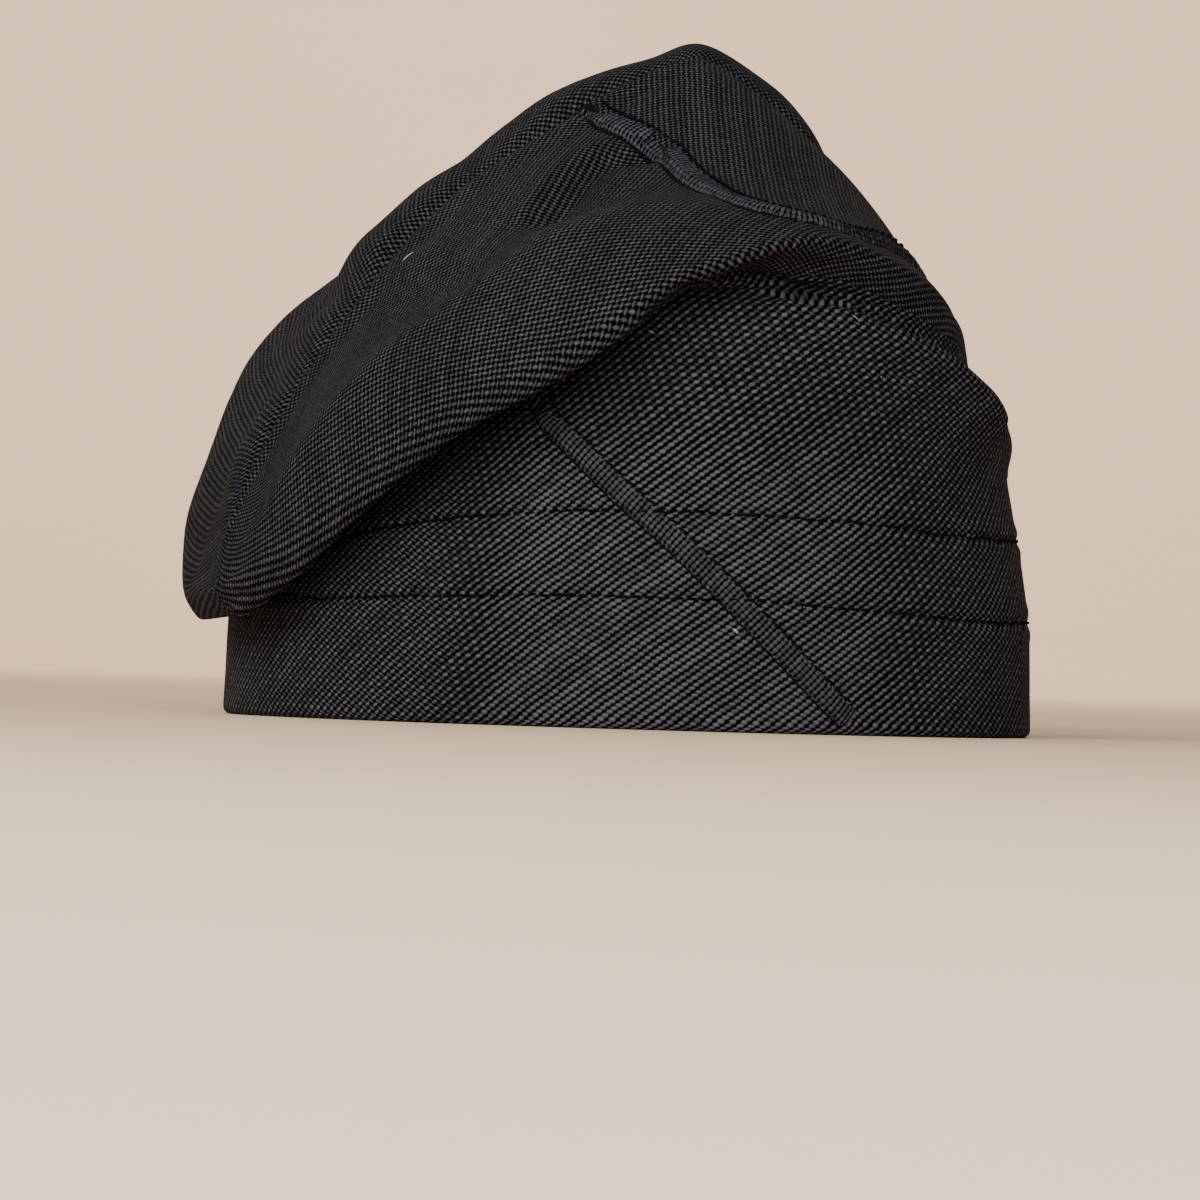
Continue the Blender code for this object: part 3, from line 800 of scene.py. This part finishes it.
in_rings = [foot + foot_out * (o * MM) + upv * (z * MM) for o, z in roll_in]
inner_cols = np.unique(np.linspace(k_first + 3, nb - 1, 26).round().astype(int))
band_inner = np.concatenate([np.stack(in_rings, 1), in_band[:, inner_cols]], axis=1)
n_roll = len(roll)


def pq_band_of(i):
    p, q = band_pq(i, k_first, nb)
    # the roll carries on the same threads downwards
    run = np.linspace(-8.0, -1.0, n_roll)
    u, _ = thread_coords(i, 0, 1)
    per_p, per_q = RIM_ROUND / MM / 228.0, RIM_ROUND / MM / 246.0
    v0 = up_run[i % SECTIONS, k_first]
    rp = p[0] - (run) / (per_p * math.tan(math.radians(37)))
    rq = q[0] + (run) / (per_q * math.tan(math.radians(27)))
    return np.concatenate([rp, p]), np.concatenate([rq, q])


band = shell_object("cloth_band", band_outer, band_inner, pq_band_of, MAT_BAND, look=rib_share)

# ---------------------------------------------------------------- the folded crown
kc = nb - 1
crown_outer = outer[:, kc:]
crown_cols = np.unique(np.linspace(kc, len(ALL_LEVELS) - 1, 34).round().astype(int))
crown_inner = in_band[:, crown_cols].copy()
# under the closed edge the two inner faces meet a little below the ridge
ridge = base[:, -1] - np.array([0, 0, 1.0]) * WALL * 1.4
crown_inner[:, -1] = ridge


def pq_crown_of(i):
    return crown_pq(i, kc, len(ALL_LEVELS))


crown = shell_object("cloth_crown", crown_outer, crown_inner, pq_crown_of, MAT_CROWN, close_ridge=True)

# ---------------------------------------------------------------- the turned-up hem inside
hem_k = [k for k in range(k_first, nb) if ALL_LEVELS[k] <= 0.222][::2]
hem_face = -normal.copy()
hem_outer_pts = base[:, hem_k] - normal[:, hem_k] * (2.05 * MM)
hem_inner_pts = base[:, hem_k] - normal[:, hem_k] * (3.25 * MM)
start_out = foot + foot_out * (-2.05 * MM) + upv * (2.95 * MM)
start_in = foot + foot_out * (-3.25 * MM) + upv * (2.95 * MM)
top_round = base[:, hem_k[-1]] - normal[:, hem_k[-1]] * (2.65 * MM) + upv * (0.7 * MM)
# visible face of the hem looks inwards: rings run down it, so that it counts as the outer grid
ripple = np.array([[noise.noise(Vector((t * 0.12, k * 0.35, 2.0))) for k in range(len(hem_k))] for t in TURNS]) * 0.25 * MM
hem_vis = hem_inner_pts - normal[:, hem_k] * ripple[..., None] * 0.6
hem_rings = np.concatenate([top_round[:, None], hem_vis[:, ::-1], start_in[:, None]], axis=1)
back_cols = list(range(0, len(hem_k), 4))
hem_back = np.concatenate([hem_outer_pts[:, back_cols][:, ::-1], start_out[:, None]], axis=1)


def pq_hem_of(i):
    u = rim_run(i * 360.0 / SECTIONS) / MM
    n = hem_rings.shape[1]
    v = np.linspace(48.0, 2.0, n)
    return (u / 2.5 + v / 2.0, u / 2.4 - v / 1.7)


hem = shell_object("hem_inside", hem_rings, hem_back, pq_hem_of, MAT_HEM)


# ---------------------------------------------------------------- seam edges: ribbed strips lying on the cloth
def seam_strip(name, path, width, thick, rib, skip_ends=0.004):
    tl = on_surface(path, 40)
    pts = np.array([surf(t, v)[0] for t, v in tl])
    nrm = np.array([surf(t, v)[1] for t, v in tl])
    run = np.concatenate([[0], np.cumsum(np.linalg.norm(np.diff(pts, axis=0), axis=1))])
    total = run[-1]
    n = int(total / 0.00030)
    s = np.linspace(0, total, n)
    tt = np.interp(s, run, tl[:, 0]); vv = np.interp(s, run, tl[:, 1])
    P0 = np.stack([np.interp(s, run, pts[:, c]) for c in range(3)], 1)
    N0 = np.stack([np.interp(s, run, nrm[:, c]) for c in range(3)], 1)
    N0 /= np.linalg.norm(N0, axis=1, keepdims=True)
    k = np.ones(41) / 41.0
    for c in range(3):
        P0[:, c] = np.convolve(np.pad(P0[:, c], 20, mode="edge"), k, mode="valid")
        N0[:, c] = np.convolve(np.pad(N0[:, c], 20, mode="edge"), k, mode="valid")
    T0 = np.gradient(P0, axis=0); T0 /= np.linalg.norm(T0, axis=1, keepdims=True)
    B0 = np.cross(T0, N0)
    B0 /= np.linalg.norm(B0, axis=1, keepdims=True)
    return s, P0, N0, T0, B0, total


def build_strip(name, path, side, width, thick, rib, relief=1.0):
    s, P, N, T, B, total = seam_strip(name, path, width, thick, rib)
    B = B * side
    # keep the strip on the cloth: drop each cross line onto the surface by the nearest grid points
    flat_out = outer.reshape(-1, 3)
    lo, hi = P.min(0) - 0.02, P.max(0) + 0.02
    pick = ((flat_out > lo) & (flat_out < hi)).all(1)
    cloud, cloud_n = flat_out[pick], normal.reshape(-1, 3)[pick]
    from mathutils.kdtree import KDTree
    tree = KDTree(len(cloud))
    for a, c in enumerate(cloud):
        tree.insert(c, a)
    tree.balance()

    def drop(x, n0):
        near = tree.find_n(x, 4)
        acc, wsum, nn = 0.0, 0.0, np.zeros(3)
        for co, idx, dist in near:
            nv = cloud_n[idx]
            if nv @ n0 < 0.2:
                continue
            w = 1.0 / (dist + 2e-4) ** 2
            acc += w * float((np.array(co) - x) @ nv)
            nn += w * nv
            wsum += w
        if wsum == 0:
            return x, n0
        nn /= np.linalg.norm(nn)
        return x + nn * (acc / wsum), nn

    rows = [(-0.10, 0.0), (-0.06, 0.55), (0.02, 0.95), (0.14, 1.0), (0.35, 0.92), (0.60, 0.85), (0.80, 0.55),
            (0.92, 0.40), (1.0, -0.10)]
    verts, faces, uvs, grid = [], [], [], []
    for m in range(len(s)):
        ph = s[m] / rib
        tooth = 0.5 + 0.5 * math.cos(2 * math.pi * ph)
        uneven = noise.noise(Vector((s[m] * 700, 1.7, side * 3)))
        end = smooth01(min(s[m], total - s[m]) / 0.002)
        slim = 0.25 + 0.75 * float(smooth01(s[m] / 0.010))
        ring, cs = [], []
        for r, (x, y) in enumerate(rows):
            across = x * width
            if x < 0.1:
                across -= 0.00040 * tooth * (1 + 0.5 * uneven) * relief
            pos, nn = drop(P[m] + B[m] * across * slim, N[m])
            rib_h = 0.20 * tooth * relief if 0 < r < len(rows) - 1 else 0.0
            height = (y * (0.85 + 0.25 * uneven) + rib_h * y) * thick * end - 0.0001 * (1 - end)
            ring.append(len(verts))
            verts.append(pos + nn * height)
            cs.append((ph, across / 0.0011))
        # closing ring under the cloth
        for x in (1.0, -0.10):
            pos, nn = drop(P[m] + B[m] * x * width * slim, N[m])
            ring.append(len(verts))
            verts.append(pos - nn * 0.0004)
            cs.append((ph, x * width / 0.0011))
        grid.append((ring, cs))
    for (a, ca), (b, cb) in zip(grid[:-1], grid[1:]):
        n = len(a)
        for k in range(n):
            j = (k + 1) % n
            f = [a[k], a[j], b[j], b[k]]
            c = [ca[k], ca[j], cb[j], cb[k]]
            if side > 0:
                f, c = f[::-1], c[::-1]
            faces.append(f); uvs.extend(c)
    for (r, c), flip in ((grid[0], side > 0), (grid[-1], side < 0)):
        f, cc = list(r), list(c)
        if not flip:
            f, cc = f[::-1], cc[::-1]
        faces.append(f); uvs.extend(cc)
    obj = make_object(name, verts, faces, MAT_TAPE, uvs, look=lambda v: np.full(len(v), 0.8))
    bm = bmesh.new()
    bm.from_mesh(obj.data)
    bmesh.ops.recalc_face_normals(bm, faces=bm.faces[:])
    bm.to_mesh(obj.data)
    bm.free()
    return obj, (s, P, N, T, B, drop, total)


strip_a, info_a = build_strip("seam_edge_band", SEAM_A, -1.0, 0.0042, 0.00045, 0.00125, 0.20)
strip_b, info_b = build_strip("seam_edge_crown", SEAM_B, -1.0, 0.0042, 0.00048, 0.00130, 1.25)


# ---------------------------------------------------------------- stitches
def lay_stitches(verts, faces, where, total, length, gap, radius, high=0.25, seed=0.0, tilt=0.0):
    """Rows of short thread runs; where(s) gives a point, normal and direction."""
    s, n = 0.0, 0
    while s + length < total:
        uneven = noise.noise(Vector((n * 0.37, seed, 1.0)))
        L = length * (1 + 0.15 * uneven)
        pts = []
        for k in range(6):
            f = k / 5.0
            p, nn, side = where(s + L * f)
            bow = math.sin(math.pi * f)
            pts.append(p + nn * ((-0.55 + 1.15 * bow) * radius * 1.6 + high * radius * bow)
                       + side * (tilt * (f - 0.5) + 0.15 * radius * uneven))
        tube(verts, faces, pts, radius * (1 + 0.1 * uneven), 6)
        s += L + gap
        n += 1


stitch_v, stitch_f = [], []
for row, depth, seed in ((ROW_1, 0.55, 2.0), (ROW_2, 0.60, 5.0)):
    zt = np.interp(TURNS, [r[0] for r in row], [r[1] for r in row]) * MM
    wave = np.array([noise.noise(Vector((t * 0.55, 3.0, depth * 9))) for t in TURNS]) * 0.35 * MM
    zt = zt + wave
    line, nline = [], []
    for i, t in enumerate(TURNS):
        lv = level_at_z(t, zt[i])
        p, nn = surf(t, lv)
        line.append(p); nline.append(nn)
    line.append(line[0]); nline.append(nline[0])
    line, nline = np.array(line), np.array(nline)
    run = np.concatenate([[0], np.cumsum(np.linalg.norm(np.diff(line, axis=0), axis=1))])

    def where(s, line=line, nline=nline, run=run):
        p = np.array([np.interp(s, run, line[:, c]) for c in range(3)])
        nn = np.array([np.interp(s, run, nline[:, c]) for c in range(3)])
        nn /= np.linalg.norm(nn)
        return p, nn, np.array([0.0, 0.0, 1.0])
    lay_stitches(stitch_v, stitch_f, where, run[-1], 0.00265, 0.00035, 0.00027, seed=seed, tilt=0.00030, high=0.5)
hem_stitches = make_object("hem_stitches", stitch_v, stitch_f, MAT_THREAD_AND_SHADOW_LINE)

seam_v, seam_f = [], []
for (s, P, N, T, B, drop, total), across, seed, thick in ((info_a, 0.0046, 1.0, 0.00026), (info_b, 0.0049, 4.0, 0.00034)):
    def where(q, s=s, P=P, N=N, B=B, drop=drop, across=across):
        p = np.array([np.interp(q, s, P[:, c]) for c in range(3)])
        n0 = np.array([np.interp(q, s, N[:, c]) for c in range(3)])
        b = np.array([np.interp(q, s, B[:, c]) for c in range(3)])
        pos, nn = drop(p + b * across, n0)
        return pos + nn * 0.00012, nn, b
    lay_stitches(seam_v, seam_f, where, total - 0.001, 0.0026, 0.0006, thick, seed=seed, tilt=0.0004)
    # a dark tube along the cut edge, no real thread: painted shadow of the groove under the edge
    shadow_line_across = -0.00082 if thick < 0.0003 else -0.00122
    pts = []
    for q in np.arange(0.001, total - 0.001, 0.00045):
        p = np.array([np.interp(q, s, P[:, c]) for c in range(3)])
        n0 = np.array([np.interp(q, s, N[:, c]) for c in range(3)])
        b = np.array([np.interp(q, s, B[:, c]) for c in range(3)])
        pos, nn = drop(p + b * (shadow_line_across * (0.25 + 0.75 * float(smooth01(q / 0.010)))), n0)
        pts.append(pos - nn * 0.00004)
    tube(seam_v, seam_f, pts, thick * 0.95, 6)
# seam stitches, together with the painted shadow line along each cut edge
seam_stitches_and_shadow_line = make_object("seam_stitches_and_shadow_line", seam_v, seam_f, MAT_THREAD_AND_SHADOW_LINE)

# ---------------------------------------------------------------- loose fibres and a few pale specks of lint
rng = np.random.default_rng(12)
fz_v, fz_f = [], []
for n in range(2600):
    t = rng.uniform(0, 360)
    lv = rng.choice([rng.uniform(0.02, 0.40), rng.uniform(0.57, 1.0), rng.uniform(0.57, 1.0), 0.999])
    p, nn = surf(t, lv)
    side = rng.normal(size=3); side -= nn * (side @ nn); side /= np.linalg.norm(side)
    L = rng.uniform(0.0005, 0.0017)
    rise = rng.uniform(0.15, 0.75)
    bend = rng.normal(size=3) * 0.25
    pts = [p - nn * 0.0001, p + (side * (1 - rise) + nn * rise) * L * 0.5, p + (side * (1 - rise) + nn * rise * 0.9 + bend * 0.5) * L]
    if pts[-1][2] < 0.0004:
        continue
    tube(fz_v, fz_f, pts, 0.000028, 3)
fuzz = make_object("loose_fibres", fz_v, fz_f, MAT_FUZZ)

li_v, li_f = [], []
LINT = [((65.5, 0.957), (67.5, 0.948), 0.00013), ((68.0, 0.372), (69.0, 0.365), 0.00010),
        ((95.2, 0.385), (95.9, 0.380), 0.00009), ((80.6, 0.117), (81.3, 0.112), 0.00016)]
for (t0, l0), (t1, l1), r in LINT:
    pts = []
    for f in (0.0, 0.33, 0.66, 1.0):
        p, nn = surf(t0 + (t1 - t0) * f, l0 + (l1 - l0) * f)
        pts.append(p + nn * (r * 1.2 + 0.0002 * math.sin(math.pi * f)))
    tube(li_v, li_f, pts, r, 5)
for c_t, c_l, spread_t, spread_l, count in ((90.0, 0.141, 1.6, 0.010, 9), (68.0, 0.066, 1.5, 0.012, 8),
                                            (81.5, 0.118, 1.0, 0.008, 4), (98.0, 0.335, 3.0, 0.02, 3)):
    for n in range(count):
        t, lv = c_t + rng.normal() * spread_t * 0.6, c_l + rng.normal() * spread_l * 0.6
        p, nn = surf(t, lv)
        side = rng.normal(size=3); side -= nn * (side @ nn); side /= np.linalg.norm(side)
        L = rng.uniform(0.0002, 0.0006)
        r = rng.uniform(0.00005, 0.0001)
        tube(li_v, li_f, [p + nn * 0.00012, p + nn * 0.0002 + side * L * 0.5, p + nn * 0.00012 + side * L], r, 4)
lint = make_object("lint", li_v, li_f, MAT_LINT)

# ---------------------------------------------------------------- riding, replacing
for piece in (band, crown, hem, strip_a, strip_b, hem_stitches, seam_stitches_and_shadow_line, fuzz, lint):
    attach(piece, "root")
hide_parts("cap_body")
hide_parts("cap_body")
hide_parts("hem_band")


# ---------------------------------------------------------------- floor, backdrop, light, camera
VIEW = math.radians(-40.0)
RIGHT = Vector((math.cos(VIEW), math.sin(VIEW), 0.0))
AWAY = Vector((-math.sin(VIEW), math.cos(VIEW), 0.0))
centre = Vector((RIM_X, RIM_Y, 0.0)) + RIGHT * -0.0056

stage_mat = bpy.data.materials.new("pale_sweep")
stage_mat.use_nodes = True
sg = Nodes(stage_mat.node_tree)
sb = stage_mat.node_tree.nodes["Principled BSDF"]
stex = sg.n.new("ShaderNodeTexCoord")
sn = sg.noise(stex.outputs["Object"], 3.0, 3.0)
smix = sg.n.new("ShaderNodeMix")
smix.data_type = "RGBA"
sg.l.new(sn, smix.inputs[0])
smix.inputs[6].default_value = (0.74, 0.540, 0.375, 1.0)
smix.inputs[7].default_value = (0.78, 0.585, 0.410, 1.0)
sg.l.new(smix.outputs[2], sb.inputs["Base Color"])
sb.inputs["Roughness"].default_value = 0.85
socket(sb, "Specular IOR Level", 0.2)

sv, sf = [], []
profile = [(-4.5, 0.0), (-1.6, 0.0), (-0.6, 0.0), (0.0, 0.0), (1.2, 0.0), (2.4, 0.0)]
for k in range(1, 13):
    a = math.radians(90 * k / 12)
    profile.append((2.4 + 1.1 * math.sin(a), 1.1 * (1 - math.cos(a))))
profile += [(3.5, 2.2), (3.5, 3.6)]
for k, (d, z) in enumerate(profile):
    for w in (-4.5, 4.5):
        q = centre + AWAY * d + RIGHT * w
        sv.append((q.x, q.y, z))
for k in range(len(profile) - 1):
    sf.append([2 * k, 2 * k + 1, 2 * k + 3, 2 * k + 2])
sweep_mesh = bpy.data.meshes.new("sweep")
sweep_mesh.from_pydata(sv, [], sf)
sweep_mesh.materials.append(stage_mat)
sweep_mesh.shade_smooth()
sweep = bpy.data.objects.new("sweep", sweep_mesh)
bpy.context.scene.collection.objects.link(sweep)


def area(name, place, target, size, power, colour=(1, 1, 1)):
    lamp = bpy.data.lights.new(name, "AREA")
    lamp.shape = "RECTANGLE"
    lamp.size, lamp.size_y = size
    lamp.energy = power
    lamp.color = colour
    o = bpy.data.objects.new(name, lamp)
    o.location = place
    o.rotation_euler = (Vector(target) - Vector(place)).to_track_quat("-Z", "Y").to_euler()
    bpy.context.scene.collection.objects.link(o)
    return o


mid = centre + Vector((0, 0, 0.08))
area("key", centre - AWAY * 1.05 - RIGHT * 0.60 + Vector((0, 0, 0.78)), mid, (0.6, 0.6), 12.0, (1.0, 0.99, 0.98))
area("front", centre - AWAY * 1.9 + RIGHT * 0.1 + Vector((0, 0, 0.78)), mid, (1.3, 0.7), 34.5, (1.0, 0.995, 0.99))
area("left_rim", centre + AWAY * 0.25 - RIGHT * 1.0 + Vector((0, 0, 0.55)), mid, (0.5, 0.9), 4.0, (1.0, 0.96, 0.92))
area("top", centre + AWAY * 0.5 + Vector((0, 0, 1.5)), mid, (1.8, 1.2), 1.2)
area("back_wash", centre + AWAY * 2.0 + Vector((0, 0, 2.0)), centre + AWAY * 3.3 + Vector((0, 0, 0.2)), (3.4, 0.5), 84.0, (1.0, 0.975, 0.94))

world = bpy.data.worlds.new("soft")
bpy.context.scene.world = world
world.use_nodes = True
world.node_tree.nodes["Background"].inputs[0].default_value = (1.0, 0.975, 0.945, 1.0)
world.node_tree.nodes["Background"].inputs[1].default_value = 0.15

cam_data = bpy.data.cameras.new("camera")
cam_data.sensor_width = 36.0
cam_data.lens = 199.9
cam_data.clip_start, cam_data.clip_end = 0.05, 20.0
cam = bpy.data.objects.new("camera", cam_data)
bpy.context.scene.collection.objects.link(cam)
eye = centre - AWAY * 1.50 + Vector((0, 0, 0.015))
aim = centre + Vector((0, 0, 0.028))
look = (aim - eye).to_track_quat("-Z", "Y").to_matrix().to_4x4()
cam.matrix_world = Matrix.Translation(eye) @ look @ Matrix.Rotation(math.radians(1.64), 4, "Z")
bpy.context.scene.camera = cam
